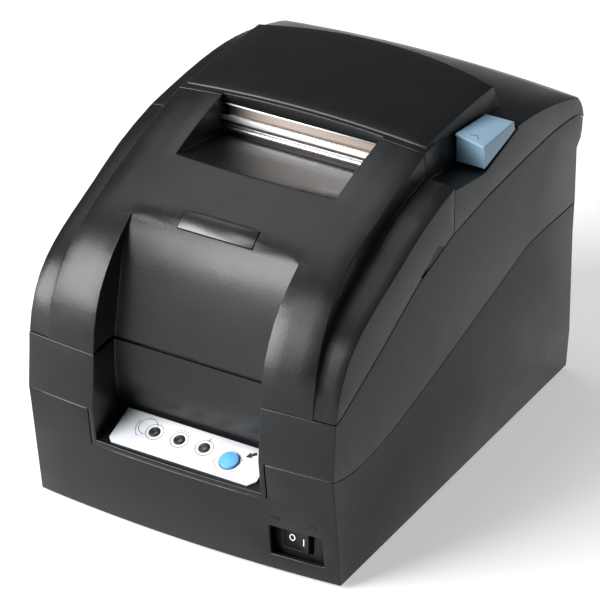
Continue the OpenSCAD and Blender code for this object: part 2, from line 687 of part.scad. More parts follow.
module mech_frame() place() color([0.62, 0.63, 0.65]) {
    inner = frame_w / 2 - plate_t;
    difference() {
        union() {
            mirrored() across(inner, frame_w / 2) polygon(plate_outline);
            slab([-inner, 40, deck_z], [inner, 96, deck_z + plate_t]);
            for (x = [-1, 1], y = frame_feet) translate([x * (frame_w / 2 - 4.01), y, frame_z])
                slab([-4, -4, 0], [4, 4, 1.6]);
            translate([pulley_x, belt_y, deck_z]) cylinder(h = 12.8, r = 1.5, $fn = round_fn);
            mirrored() slab([ribbon_half - 3, 50, ribbon_z - 1.6], [inner + 0.5, 64, ribbon_z]);
        }
        // The bars' seats, the shafts' bores and the motors' openings
        at(roller_y, roller_z) rod(-far, far, shaft_r + run_gap);
        at(carriage_y, carriage_z) rod(-far, far, rail_r);
        slab([-far, rail_y - 2, rail_z - 2], [far, rail_y + 2, rail_z + 2]);
        translate([-pulley_x, belt_y, 0]) cylinder(h = far, r = 4, $fn = round_fn);
        at(roller_y, motor_z) rod(0, far, 4);
        for (x = [-1, 1], y = frame_feet) translate([x * (frame_w / 2 - 4), y, 0])
            cylinder(h = frame_z + 3, r = 1.5, $fn = round_fn);
    }
}

rail_y = 46;
rail_z = 108;
module carriage_shaft() place() color("silver") at(carriage_y, carriage_z)
    rod(-frame_w / 2, frame_w / 2, rail_r);

module guide_rail() place() color("silver")
    slab([-frame_w / 2, rail_y - 2, rail_z - 2], [frame_w / 2, rail_y + 2, rail_z + 2]);

pulley_x = frame_w / 2 - 15.5;
belt_y = 56;
belt_z = 80;
belt_h = 5;
belt_t = 1;

module carriage() place() color([0.15, 0.15, 0.16]) difference() {
    union() {
        slab([-carriage_w / 2, 62, 86], [carriage_w / 2, 84, 99.4]);
        slab([-carriage_w / 2, rail_y - 4, 97.6], [carriage_w / 2, 62.1, 99.4]);
        slab([-carriage_w / 2, rail_y - 4, 99], [carriage_w / 2, rail_y - 2.4, 111]);
        slab([-4, belt_y + pulley_r + belt_t + 0.4, belt_z - 1], [4, belt_y + pulley_r + 4.4, 86.2]);
    }
    at(carriage_y, carriage_z) rod(-far, far, rail_r + run_gap);
}

module print_head() place() color([0.5, 0.5, 0.52]) {
    slab([-12, 60, 99.4], [12, 84, 104]);
    for (i = [0:5]) slab([-12 + i * 4.4, 58, 104], [-10 + i * 4.4, 84, 116]);
    slab([-12, 78, 104], [12, 88, 114]);
    slab([-6, 87.9, 101], [6, 95, 110]);
    slab([-3.5, 94.9, 102.5], [3.5, 98.6, 108.5]);
}

// A closed belt loop round two pulleys
module belt_loop(r) {
    translate([-pulley_x, 0, 0]) cylinder(h = belt_h, r = r, $fn = round_fn);
    translate([pulley_x, 0, 0]) cylinder(h = belt_h, r = r, $fn = round_fn);
    slab([-pulley_x, -r, 0], [pulley_x, r, belt_h]);
}

module carriage_belt() place() color([0.1, 0.1, 0.1]) translate([0, belt_y, belt_z]) difference() {
    belt_loop(pulley_r + belt_t);
    translate([0, 0, -1]) scale([1, 1, 2]) belt_loop(pulley_r + run_gap);
}

module pulley() difference() {
    union() {
        cylinder(h = belt_h + 2, r = pulley_r, $fn = round_fn);
        cylinder(h = 0.8, r = pulley_r + 1.6, $fn = round_fn);
        translate([0, 0, belt_h + 1.4]) cylinder(h = 0.8, r = pulley_r + 1.6, $fn = round_fn);
    }
    children();
}

module drive_pulley() place() color([0.85, 0.83, 0.78]) translate([-pulley_x, belt_y, belt_z - 1.2]) {
    pulley();
    translate([0, 0, -20]) cylinder(h = 20.1, r = 1, $fn = round_fn);
}

module idler_pulley() place() color([0.85, 0.83, 0.78]) translate([pulley_x, belt_y, belt_z - 1.2])
    pulley() translate([0, 0, -5]) cylinder(h = 30, r = 1.5 + run_gap, $fn = round_fn);

module carriage_motor() place() color("silver") translate([-pulley_x, belt_y, 0]) difference() {
    union() {
        translate([0, 0, deck_z - 22]) cylinder(h = 22, r = 12, $fn = round_fn);
        translate([0, 0, deck_z - 0.1]) cylinder(h = 2.1, r = 3.9, $fn = round_fn);
    }
    translate([0, 0, belt_z - 22]) cylinder(h = 40, r = 1 + run_gap, $fn = round_fn);
}

ribbon_z = 121;
ribbon_half = frame_w / 2 - plate_t - 2.5;
knob_x = -38;
knob_y = 44;
module ribbon_cartridge() place() color([0.2, 0.2, 0.21]) difference() {
    union() {
        slab([-ribbon_half, 32, ribbon_z], [ribbon_half, 66, ribbon_z + 9]);
        mirrored() slab([ribbon_half - 8, 64, ribbon_z - 2], [ribbon_half, 90, ribbon_z + 6]);
        mirrored() slab([ribbon_half - 8, 88, 99], [ribbon_half, 99.6, ribbon_z + 4]);
    }
    translate([knob_x, knob_y, ribbon_z + 2]) cylinder(h = 20, r = 2 + run_gap, $fn = round_fn);
}

module ribbon_band() place() color([0.12, 0.1, 0.16])
    slab([8 - ribbon_half, 98.9, 101], [ribbon_half - 8, 99.1, 112]);

module ribbon_knob() place() color([0.3, 0.45, 0.7]) translate([knob_x, knob_y, ribbon_z + 9.3]) {
    cylinder(h = 3.4, r = 6, $fn = round_fn);
    translate([0, 0, -6.5]) cylinder(h = 6.6, r = 2, $fn = round_fn);
    for (a = [0:30:330]) rotate([0, 0, a]) translate([6, 0, 0]) cylinder(h = 3.4, r = 0.9, $fn = 16);
}

module feed_roller() place() color([0.15, 0.15, 0.15]) at(roller_y, roller_z) difference() {
    rod(-38, 38, roller_r);
    rod(-40, 40, shaft_r);
}

module feed_shaft() place() color("silver") at(roller_y, roller_z)
    rod(-frame_w / 2 - 1, gear_x + gear_w + 0.4, shaft_r);

// Gear train down the right side plate
gear_x = frame_w / 2 + 1;
teeth_feed = 28;
teeth_idler = 40;
teeth_pinion = 12;
gear_slack = 0.12;
function pitch_r(n) = gear_module * n / 2;
upper_idler_z = roller_z - pitch_r(teeth_feed) - pitch_r(teeth_idler) - gear_slack;
lower_idler_z = upper_idler_z - 2 * pitch_r(teeth_idler) - gear_slack;
motor_z = lower_idler_z - pitch_r(teeth_idler) - pitch_r(teeth_pinion) - gear_slack;
stud_r = 2;

// Tooth outline: half angles at the root, the pitch circle and the tip
module gear(n, bore, turn) {
    r = pitch_r(n);
    step = 360 / n;
    translate([gear_x, 0, 0]) rotate([0, 90, 0]) rotate([0, 0, turn]) difference() {
        linear_extrude(gear_w) polygon([for (i = [0:n - 1], k = [-1.05, -0.88, -0.42, 0.42, 0.88, 1.05])
            let (far_out = abs(k) < 0.5, mid = abs(k) > 0.5 && abs(k) < 1,
                q = far_out ? r + 0.9 * gear_module : mid ? r : r - 1.15 * gear_module,
                w = far_out ? 0.22 : mid ? 0.44 : 0.6)
            q * [cos(i * step + sign(k) * w * step / 2), sin(i * step + sign(k) * w * step / 2)]]);
        if (bore > 0) translate([0, 0, -1]) cylinder(h = gear_w + 2, r = bore, $fn = round_fn);
    }
}

module feed_gear() place() color([0.9, 0.9, 0.86]) at(roller_y, roller_z) gear(teeth_feed, shaft_r, 0);

module upper_idler_gear() place() color([0.9, 0.9, 0.86]) at(roller_y, upper_idler_z)
    gear(teeth_idler, stud_r + run_gap, 180 / teeth_idler);

module lower_idler_gear() place() color([0.9, 0.9, 0.86]) at(roller_y, lower_idler_z)
    gear(teeth_idler, stud_r + run_gap, 0);

module motor_pinion() place() color("gold") at(roller_y, motor_z) {
    gear(teeth_pinion, 0, 180 / teeth_pinion);
    rod(frame_w / 2 - 12, gear_x + 0.1, 1.5);
}

module paper_motor() place() color("silver") at(roller_y, motor_z) difference() {
    union() {
        rod(frame_w / 2 - plate_t - 24, frame_w / 2 - plate_t, motor_r - 3);
        rod(frame_w / 2 - plate_t - 1, frame_w / 2, 3.9);
    }
    rod(frame_w / 2 - 13, far, 1.5 + run_gap);
}

module gear_studs() place() color("silver") for (z = [upper_idler_z, lower_idler_z])
    at(roller_y, z) {
        rod(frame_w / 2, gear_x + gear_w + 0.4, stud_r);
        rod(gear_x + gear_w + 0.3, gear_x + gear_w + 1, stud_r + 0.8);
        rod(frame_w / 2, gear_x - 0.3, stud_r + 0.8);
    }

pinch_y = roller_y + roller_r + 0.7 + pinch_r;
module pinch_rollers() place() color([0.2, 0.2, 0.2]) for (x = [-24, 0, 24]) at(pinch_y, roller_z)
    difference() {
        rod(x - 6, x + 6, pinch_r);
        rod(x - 7, x + 7, 1.5);
    }

module pinch_shaft() place() color("silver") at(pinch_y, roller_z) rod(-43.6, 43.6, 1.5);

// ---------- paper roll ----------

roll_y = 159;
roll_z = 102;
module roll_cradle() place() color([0.2, 0.2, 0.21]) {
    t = 1.6;
    difference() {
        union() {
            intersection() {
                at(roll_y, roll_z) rod(-cradle_w / 2 - t, cradle_w / 2 + t, cradle_r + t);
                slab([-far, 100, 50], [far, 240, roll_z]);
            }
            for (x = [-1, 1], leg = [[124, 78], [186, 69.6]])
                translate([x * (cradle_w / 2 - 2.4), leg[0], 0]) slab([-4, -3, wall], [4, 3, leg[1]]);
        }
        at(roll_y, roll_z) rod(-cradle_w / 2, cradle_w / 2, cradle_r);
    }
}

module near_end_sensor() place() color("black")
    slab([cradle_w / 2 + 1.6, 150, 70], [cradle_w / 2 + 9, 168, 84]);

module cover_switch() place() color("black") {
    slab([-inner_w, 176, 112], [-inner_w + 7, 194, 123]);
    slab([-inner_w + 2, 180, 123], [-inner_w + 5, 183, 125.6]);
}

// ---------- electronics ----------

board_t = 1.6;
module main_board() place() color([0.1, 0.35, 0.2]) difference() {
    union() {
        slab([-33, 120.6, board_z], [33, back_y - 20, board_z + board_t]);
        for (c = [[-20, 140, 14], [8, 146, 18], [-12, 168, 10]]) translate([c[0], c[1], board_z + board_t])
            slab([0, 0, 0], [c[2], c[2], 2]);
    }
    for (x = [-1, 1], y = board_rows) translate([x * board_hole_x, y, 0])
        cylinder(h = 20, r = 1.6, $fn = round_fn);
}

module board_screws() place() color("silver") for (x = [-1, 1], y = board_rows)
    translate([x * board_hole_x, y, board_z + board_t]) cylinder(h = 2, r = 2.6, $fn = round_fn);

module interface_board() place() color([0.1, 0.35, 0.2])
    slab([-62, back_y - 18.6, wall], [34, back_y - 17, 34]);

module connector(k, deep, bore_r) {
    p = ports[k];
    difference() {
        slab([p[0] - p[1] / 2 + 0.4, back_y - 17, port_z - port_h / 2 + 0.4],
            [p[0] + p[1] / 2 - 0.4, back_y - 0.2, port_z + port_h / 2 - 0.4]);
        if (bore_r > 0) translate([p[0], back_y - deep, port_z]) rotate([-90, 0, 0])
            cylinder(h = 30, r = bore_r, $fn = round_fn);
        if (bore_r == 0) slab([p[0] - p[1] / 2 + 2.4, back_y - deep, port_z - 5],
            [p[0] + p[1] / 2 - 2.4, back_y + 5, port_z + 5]);
    }
}

module interface_connector() place() color("silver") connector(1, 6, 0);

module power_inlet() place() color("black") connector(0, 10, 5);

module drawer_jack() place() color("black") connector(2, 11, 0);

lower_case();
upper_case();
front_cover();
rear_cover();
front_hinge_arms();
rear_hinge_pin();
rubber_feet();
case_screws();
control_label();
lamp(lamp_x[0]);  // lamp_left
lamp(lamp_x[1]);  // lamp_middle
lamp(lamp_x[2]);  // lamp_right
feed_button();
control_board();
switch_housing();
power_rocker();
name_plate();
open_lever();
lever_pin();
lever_spring();
latch_hooks();
tear_bar();
guide_bar();
paper_strip();
platen_bar();
mech_frame();
carriage_shaft();
guide_rail();
carriage();
print_head();
carriage_belt();
drive_pulley();
idler_pulley();
carriage_motor();
ribbon_cartridge();
ribbon_band();
ribbon_knob();
feed_roller();
feed_shaft();
feed_gear();
upper_idler_gear();
lower_idler_gear();
motor_pinion();
paper_motor();
gear_studs();
pinch_rollers();
pinch_shaft();
roll_cradle();
near_end_sensor();
cover_switch();
main_board();
interface_board();
interface_connector();
power_inlet();
drawer_jack();
board_screws();
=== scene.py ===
"""Looks of the impact receipt printer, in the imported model's frame (metres, +Z up, front at -Y)."""
import json
import math

import bmesh
import bpy
from mathutils import Matrix, Vector


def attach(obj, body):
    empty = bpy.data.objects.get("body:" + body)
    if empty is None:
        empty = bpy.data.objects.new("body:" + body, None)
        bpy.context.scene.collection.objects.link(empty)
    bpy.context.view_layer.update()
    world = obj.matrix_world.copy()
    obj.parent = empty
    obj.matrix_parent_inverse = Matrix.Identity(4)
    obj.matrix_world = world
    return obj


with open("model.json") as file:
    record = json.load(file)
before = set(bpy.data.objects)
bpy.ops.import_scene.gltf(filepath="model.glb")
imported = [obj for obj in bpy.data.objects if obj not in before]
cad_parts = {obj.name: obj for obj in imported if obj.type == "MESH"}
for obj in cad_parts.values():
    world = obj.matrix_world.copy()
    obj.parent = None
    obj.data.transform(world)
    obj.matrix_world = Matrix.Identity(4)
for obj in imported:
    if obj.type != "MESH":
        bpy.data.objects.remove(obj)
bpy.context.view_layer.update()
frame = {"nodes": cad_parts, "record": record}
NODES = frame["nodes"]
RECORD = frame["record"]
scene = bpy.context.scene

# The case's drawing counts in mm, from its front; the frame in metres, from the middle of its feet
MM = 0.001
MIDDLE_Y = 103.811
FOOT_H = 2.0
HALF_W = 76.0
FRONT_BOW_R = 722.0


def case_point(x, y, z):
    """A point counted as in the case's drawing, in mm, moved to the frame in metres."""
    return Vector((x, y - MIDDLE_Y, z + FOOT_H)) * MM


# ---------- camera, light and floor ----------

CAMERA_AIM = (0, -2.76, 72)
CAMERA_TURN = math.radians(30.026)
CAMERA_RISE = math.radians(30.238)
CAMERA_ROLL = math.radians(0.317)
CAMERA_AWAY = 1.772858
PHOTO_PIXELS = 600
PHOTO_SHIFT = (-6.594, -4.482)

LAMP_AIM = (0, -0.05, 0.1)
WORLD_COLOUR = (0.90, 0.95, 1.0, 1)
WORLD_STRENGTH = 0.16
FLOOR_HALF = 6
FLOOR_GREY = 0.6
FLOOR_LIFT = 0.42


def set_camera():
    """The camera that was fitted to the photograph's edges."""
    turn, rise, roll = CAMERA_TURN, CAMERA_RISE, CAMERA_ROLL
    ahead = Vector((math.sin(turn), -math.cos(turn), 0))
    back = math.cos(rise) * ahead + math.sin(rise) * Vector((0, 0, 1))
    level = Vector((math.cos(turn), math.sin(turn), 0))
    upright = back.cross(level)
    right = math.cos(roll) * level + math.sin(roll) * upright
    up = math.cos(roll) * upright - math.sin(roll) * level
    data = bpy.data.cameras.new("camera")
    data.lens, data.sensor_width = 240, 36
    data.shift_x, data.shift_y = (s / PHOTO_PIXELS for s in PHOTO_SHIFT)
    data.clip_start, data.clip_end = 0.1, 20
    camera = bpy.data.objects.new("camera", data)
    scene.collection.objects.link(camera)
    matrix = Matrix((right, up, back)).transposed().to_4x4()
    matrix.translation = Vector(CAMERA_AIM) * MM + CAMERA_AWAY * back
    camera.matrix_world = matrix
    scene.camera = camera


def area_light(name, place, aim, size, power):
    data = bpy.data.lights.new(name, "AREA")
    data.shape, data.size, data.size_y = "RECTANGLE", size[0], size[1]
    data.energy = power
    light = bpy.data.objects.new(name, data)
    scene.collection.objects.link(light)
    light.location = place
    light.rotation_euler = (Vector(aim) - Vector(place)).to_track_quat("-Z", "Y").to_euler()


def set_studio():
    """A large soft key at the left front, a small high one, a fill above and a weak edge light."""
    world = bpy.data.worlds.new("studio")
    scene.world = world
    world.use_nodes = True
    sky = world.node_tree.nodes["Background"]
    sky.inputs["Color"].default_value = WORLD_COLOUR
    sky.inputs["Strength"].default_value = WORLD_STRENGTH
    area_light("key_left", (-1.19, -1.50, 0.90), LAMP_AIM, (1.4, 1.45), 112)
    area_light("key_high", (-0.46, -1.19, 1.68), LAMP_AIM, (0.5, 0.5), 7)
    area_light("fill_above", (-0.874, 0.268, 2.09), LAMP_AIM, (1.3, 1.3), 14)
    area_light("edge_right", (1.1, 1.1, 1.2), (0, 0, 0.1), (0.2, 0.8), 4)
    mesh = bpy.data.meshes.new("floor")
    h = FLOOR_HALF
    mesh.from_pydata([(-h, -h, 0), (h, -h, 0), (h, h, 0), (-h, h, 0)], [], [(0, 1, 2, 3)])
    floor = bpy.data.objects.new("floor", mesh)
    scene.collection.objects.link(floor)
    floor.data.materials.append(floor_paper())


def floor_paper():
    """Pale paper that keeps the shadow; camera, mirror and glass rays see it lifted to white."""
    material = bpy.data.materials.new("floor_white")
    material.use_nodes = True
    tree = material.node_tree
    tree.nodes.remove(tree.nodes["Principled BSDF"])
    rays = tree.nodes.new("ShaderNodeLightPath")
    seen = rays.outputs["Is Camera Ray"]
    for kind in ("Is Glossy Ray", "Is Transmission Ray"):
        larger = add_node(tree, "ShaderNodeMath", operation="MAXIMUM")
        tree.links.new(seen, larger.inputs[0])
        tree.links.new(rays.outputs[kind], larger.inputs[1])
        seen = larger.outputs[0]
    lift = add_node(tree, "ShaderNodeMath", operation="MULTIPLY")
    lift.inputs[1].default_value = FLOOR_LIFT
    tree.links.new(seen, lift.inputs[0])
    glow = tree.nodes.new("ShaderNodeEmission")
    tree.links.new(lift.outputs[0], glow.inputs["Strength"])
    paper = tree.nodes.new("ShaderNodeBsdfDiffuse")
    paper.inputs["Color"].default_value = (FLOOR_GREY, FLOOR_GREY, FLOOR_GREY, 1)
    both = tree.nodes.new("ShaderNodeAddShader")
    tree.links.new(paper.outputs[0], both.inputs[0])
    tree.links.new(glow.outputs[0], both.inputs[1])
    tree.links.new(both.outputs[0], tree.nodes["Material Output"].inputs["Surface"])
    return material


# ---------- materials ----------

def new_material(name):
    material = bpy.data.materials.new(name)
    material.use_nodes = True
    return material, material.node_tree, material.node_tree.nodes["Principled BSDF"]


def add_node(tree, kind, **values):
    """A node whose inputs or properties are set by name."""
    node = tree.nodes.new(kind)
    for key, value in values.items():
        if key in node.inputs:
            node.inputs[key].default_value = value
        else:
            setattr(node, key, value)
    return node


def object_coords(tree):
    return tree.nodes.new("ShaderNodeTexCoord").outputs["Object"]


def noise(tree, scale, detail=2.0, stretch=None):
    """Noise in the object's own space, with features of about 1/scale metres."""
    source = object_coords(tree)
    if stretch:
        mapping = tree.nodes.new("ShaderNodeMapping")
        mapping.inputs["Scale"].default_value = stretch
        tree.links.new(source, mapping.inputs["Vector"])
        source = mapping.outputs["Vector"]
    node = add_node(tree, "ShaderNodeTexNoise", Scale=scale, Detail=detail)
    tree.links.new(source, node.inputs["Vector"])
    return node.outputs["Fac"]


def spread(tree, source, low, high, start=0.3, end=0.7):
    """The source's span from start to end, mapped to low to high."""
    node = add_node(tree, "ShaderNodeMapRange")
    for key, value in (("From Min", start), ("From Max", end), ("To Min", low), ("To Max", high)):
        node.inputs[key].default_value = value
    tree.links.new(source, node.inputs["Value"])
    return node.outputs["Result"]


def mixed(tree, share, low, high):
    """Colour between low and high by the share."""
    node = tree.nodes.new("ShaderNodeMix")
    node.data_type = "RGBA"
    share_in, low_in, high_in = (node.inputs[i] for i in (0, 6, 7))
    low_in.default_value = (*low, 1)
    high_in.default_value = (*high, 1)
    tree.links.new(share, share_in)
    return node.outputs[2]


def tint(tree, source, low, high):
    """Colour that wanders between two colours with the noise."""
    return mixed(tree, spread(tree, source, 0, 1), low, high)


def scaled(colour, factor):
    return tuple(min(1.0, c * factor) for c in colour)


def bump(tree, shader, source, depth):
    node = add_node(tree, "ShaderNodeBump", Strength=1.0, Distance=depth)
    tree.links.new(source, node.inputs["Height"])
    tree.links.new(node.outputs["Normal"], shader.inputs["Normal"])


PLASTIC_MOTTLE = 0.05
PLASTIC_WANDER = 0.03
METAL_WANDER = 0.08
METAL_DEPTH = 0.00001


def plastic(name, colour, rough, grain=2400, depth=0.00006, coat=0.0, sheen=0.5):
    """Moulded plastic: fine grain, faint colour drift and slightly uneven gloss."""
    material, tree, shader = new_material(name)
    shader.inputs["Coat Weight"].default_value = coat
    shader.inputs["Specular IOR Level"].default_value = sheen
    broad = noise(tree, 60, 3)
    darker, lighter = scaled(colour, 1 - PLASTIC_MOTTLE), scaled(colour, 1 + PLASTIC_MOTTLE)
    tree.links.new(tint(tree, broad, darker, lighter), shader.inputs["Base Color"])
    tree.links.new(spread(tree, broad, rough - PLASTIC_WANDER, rough + PLASTIC_WANDER),
                   shader.inputs["Roughness"])
    if grain:
        bump(tree, shader, noise(tree, grain, 1.5), depth)
    return material


def metal(name, colour, rough, brush=(1, 1, 1), solid=1.0):
    """Metal with a brushed or cast surface; solid below 1 makes it duller."""
    material, tree, shader = new_material(name)
    shader.inputs["Metallic"].default_value = solid
    fine = noise(tree, 900, 3, brush)
    tree.links.new(tint(tree, fine, scaled(colour, 0.88), scaled(colour, 1.08)),
                   shader.inputs["Base Color"])
    tree.links.new(spread(tree, fine, rough - METAL_WANDER, rough + METAL_WANDER),
                   shader.inputs["Roughness"])
    bump(tree, shader, fine, METAL_DEPTH)
    return material


def ribbon_cloth(name):
    material, tree, shader = new_material(name)
    shader.inputs["Roughness"].default_value = 0.8
    shader.inputs["Sheen Weight"].default_value = 0.3
    weave = add_node(tree, "ShaderNodeTexWave", Scale=1400.0, Distortion=0.6)
    tree.links.new(object_coords(tree), weave.inputs["Vector"])
    tree.links.new(tint(tree, weave.outputs["Fac"], (0.012, 0.008, 0.022), (0.04, 0.03, 0.07)),
                   shader.inputs["Base Color"])
    bump(tree, shader, weave.outputs["Fac"], 0.00004)
    return material


def circuit_board(name):
    """Green solder mask with a faint pattern of tracks."""
    material, tree, shader = new_material(name)
    shader.inputs["Roughness"].default_value = 0.35
    shader.inputs["Coat Weight"].default_value = 0.4
    tracks = add_node(tree, "ShaderNodeTexBrick", Scale=260.0)
    tracks.inputs["Mortar Size"].default_value = 0.05
    tracks.inputs["Color1"].default_value = (0.012, 0.085, 0.035, 1)
    tracks.inputs["Color2"].default_value = (0.015, 0.10, 0.045, 1)
    tracks.inputs["Mortar"].default_value = (0.03, 0.17, 0.08, 1)
    tree.links.new(object_coords(tree), tracks.inputs["Vector"])
    tree.links.new(tracks.outputs["Color"], shader.inputs["Base Color"])
    return material


def label_film_with_painted_shade(name):
    """Pale film with painted shade: its left end darkens to grey."""
    material, tree, shader = new_material(name)
    shader.inputs["Roughness"].default_value = 0.38
    split = tree.nodes.new("ShaderNodeSeparateXYZ")
    tree.links.new(object_coords(tree), split.inputs["Vector"])
    # painted shade: grey at the film's left end, lightening to its own pale colour towards the right
    share = spread(tree, split.outputs["X"], 0.0, 1.0, -0.037, -0.012)
    tree.links.new(mixed(tree, share, (0.36, 0.38, 0.40), (0.66, 0.67, 0.69)),
                   shader.inputs["Base Color"])
    bump(tree, shader, noise(tree, 3000, 1), 0.000008)
    return material


CHARCOAL = (0.0056, 0.0064, 0.0071)
LONG_BRUSH = (0.05, 1, 1)


def make_materials():
    """One material for each slot of the record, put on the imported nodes."""
    made = {
        "case_plastic": plastic("charcoal_plastic", CHARCOAL, 0.29,
                                grain=1500, depth=0.00005, sheen=0.27),
        "dark_plastic": plastic("black_plastic", (0.005, 0.005, 0.0055), 0.42,
                                grain=1500, depth=0.00003, sheen=0.25),
        "plate_black": plastic("bare_plate", (0.006, 0.006, 0.007), 0.24,
                               grain=3000, depth=0.00001),
        "bar_steel": metal("stamped_bright_steel", (0.88, 0.87, 0.84), 0.55, LONG_BRUSH,
                           solid=0.45),
        "steel": metal("bright_steel", (0.62, 0.62, 0.61), 0.34, LONG_BRUSH),
        "zinc_plate": metal("zinc_plated_steel", (0.50, 0.51, 0.53), 0.4),
        "strip_metal": metal("warm_satin_strip", (0.36, 0.30, 0.265), 0.5, (0.03, 1, 1),
                             solid=0.6),
        "label_white": label_film_with_painted_shade("label_film_with_painted_shade"),
        "lamp_dark": plastic("lamp_lens", (0.018, 0.018, 0.02), 0.16,
                             grain=1200, depth=0.00003, coat=0.5),
        "button_blue": plastic("button_blue", (0.085, 0.33, 0.62), 0.3,
                               grain=2000, depth=0.00001),
        "lever_blue": plastic("lever_blue", (0.27, 0.42, 0.55), 0.42,
                              grain=2200, depth=0.00002),
        "rubber_black": plastic("black_rubber", (0.012, 0.012, 0.012), 0.78,
                                grain=900, depth=0.00005),
        "gear_white": plastic("acetal", (0.72, 0.71, 0.67), 0.4,
                              grain=1500, depth=0.00002),
        "knob_blue": plastic("knob_blue", (0.06, 0.18, 0.42), 0.4,
                             grain=1500, depth=0.00002),
        "pinion_brass": metal("turned_brass", (0.72, 0.52, 0.22), 0.25),
        "ribbon_fabric": ribbon_cloth("inked_ribbon"),
        "board_green": circuit_board("circuit_board"),
    }
    for part in RECORD["subparts"]:
        data = NODES[part["node"]].data
        data.materials.clear()
        data.materials.append(made[part["material_slot"]])
    return made


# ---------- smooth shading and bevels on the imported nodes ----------

SHARP_ANGLE = math.radians(32)
BEVEL_ANGLE = math.radians(34)
FLAT_ANGLE = math.radians(0.3)
WELD_REACH = 0.00001
WIDE_EDGES = ("lower_case", "upper_case", "front_cover", "rear_cover", "open_lever")
BEVEL_MM = 0.25
BEVELS_MM = {
    "lower_case": 0.6, "upper_case": 0.45, "front_cover": 0.4, "rear_cover": 0.35,
    "open_lever": 0.4, "name_plate": 0.2, "feed_button": 0.35, "power_rocker": 0.4,
    "rubber_feet": 0.4, "tear_bar": 0.12, "guide_bar": 0.3, "paper_strip": 0.2,
    "control_label": 0.12, "ribbon_band": 0.05,
    "lamp_left": 0.3, "lamp_middle": 0.3, "lamp_right": 0.3,
}


def smoothing_group():
    """Node group: shade smooth, but keep edges over SHARP_ANGLE sharp."""
    group = bpy.data.node_groups.new("smooth_by_angle", "GeometryNodeTree")
    group.interface.new_socket("Geometry", in_out="INPUT", socket_type="NodeSocketGeometry")
    group.interface.new_socket("Geometry", in_out="OUTPUT", socket_type="NodeSocketGeometry")
    first = group.nodes.new("NodeGroupInput")
    last = group.nodes.new("NodeGroupOutput")
    drop = group.nodes.new("GeometryNodeRemoveAttribute")
    drop.inputs["Name"].default_value = "custom_normal"
    faces = group.nodes.new("GeometryNodeSetShadeSmooth")
    faces.domain = "FACE"
    edges = group.nodes.new("GeometryNodeSetShadeSmooth")
    edges.domain = "EDGE"
    edges.inputs["Shade Smooth"].default_value = False
    angle = group.nodes.new("GeometryNodeInputMeshEdgeAngle")
    over = group.nodes.new("FunctionNodeCompare")
    over.inputs["B"].default_value = SHARP_ANGLE
    link = group.links.new
    link(first.outputs[0], drop.inputs["Geometry"])
    link(drop.outputs["Geometry"], faces.inputs["Geometry"])
    link(faces.outputs["Geometry"], edges.inputs["Geometry"])
    link(angle.outputs["Unsigned Angle"], over.inputs["A"])
    link(over.outputs["Result"], edges.inputs["Selection"])
    link(edges.outputs["Geometry"], last.inputs[0])
    return group


def dress_nodes():
    """Small bevels and smooth shading; the large mouldings keep their full bevel width."""
    group = smoothing_group()
    for name, node in NODES.items():
        wide = name in WIDE_EDGES
        weld = node.modifiers.new("weld", "WELD")
        weld.merge_threshold = WELD_REACH
        if not wide:
            flat = node.modifiers.new("flat_faces", "DECIMATE")
            flat.decimate_type = "DISSOLVE"
            flat.angle_limit = FLAT_ANGLE
        bevel = node.modifiers.new("bevel", "BEVEL")
        bevel.width = BEVELS_MM.get(name, BEVEL_MM) * MM
        bevel.segments = 3 if wide else 2
        bevel.limit_method = "ANGLE"
        bevel.angle_limit = BEVEL_ANGLE
        bevel.use_clamp_overlap = not wide
        smooth = node.modifiers.new("smooth", "NODES")
        smooth.node_group = group


# ---------- meshes of small pieces ----------

def add_mesh(name, verts, faces, material, body, smooth=False):
    mesh = bpy.data.meshes.new(name)
    mesh.from_pydata([tuple(v) for v in verts], [], faces)
    work = bmesh.new()
    work.from_mesh(mesh)
    bmesh.ops.recalc_face_normals(work, faces=work.faces)
    work.to_mesh(mesh)
    work.free()
    if smooth:
        mesh.shade_smooth()
    piece = bpy.data.objects.new(name, mesh)
    scene.collection.objects.link(piece)
    mesh.materials.append(material)
    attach(piece, body)


def sweep_faces(steps, ring, closed=False):
    """Faces of a tube through rings of points, with capped ends unless it is closed."""
    faces = []
    for i in range(steps if closed else steps - 1):
        a, b = ring * i, ring * ((i + 1) % steps)
        for k in range(ring):
            n = (k + 1) % ring
            faces.append((a + k, a + n, b + n, b + k))
    if not closed:
        end = ring * (steps - 1)
        faces += [tuple(range(ring)), tuple(range(end, end + ring))[::-1]]
    return faces


INK_H = 0.06


def ribbon_loop(name, points, width, place, material, body, closed=True, height=INK_H):
    """A flat printed line along 2D points, which place(x, y, lift) puts in space."""
    count = len(points)
    verts = []
    for i, point in enumerate(points):
        before = points[i - 1] if closed or i else point
        after = points[(i + 1) % count] if closed or i < count - 1 else point
        run = (Vector(after) - Vector(before)).normalized()
        side = Vector((-run.y, run.x)) * width / 2
        for sign, lift in ((1, 0), (-1, 0), (-1, height), (1, height)):
            verts.append(place(point[0] + sign * side.x, point[1] + sign * side.y, lift))
    add_mesh(name, verts, sweep_faces(count, 4, closed), material, body)


def flat_shape(name, outline, place, material, body):
    """A flat printed shape with the given outline."""
    count = len(outline)
    verts = [place(x, y, lift) for lift in (0, INK_H) for x, y in outline]
    add_mesh(name, verts, sweep_faces(2, count), material, body)


def circle(x, y, r, count=48, start=0.0, sweep=360.0):
    """Points round a circle, or along an arc with both ends when the sweep is less than a turn."""
    full = abs(sweep - 360) < 1e-6
    steps = count if full else count - 1
    return [(x + r * math.cos(math.radians(start + sweep * i / steps)),
             y + r * math.sin(math.radians(start + sweep * i / steps))) for i in range(count)]


# ---------- printed signs ----------

LABEL_TILT = math.radians(22)
LABEL_MID = (2.074, 44.607)
LABEL_TOP = 0.25
LAMPS = ((-18.7, 1.6), (-6.2, 1.6), (6.3, 1.6))
BUTTON = (20.2, -0.8)


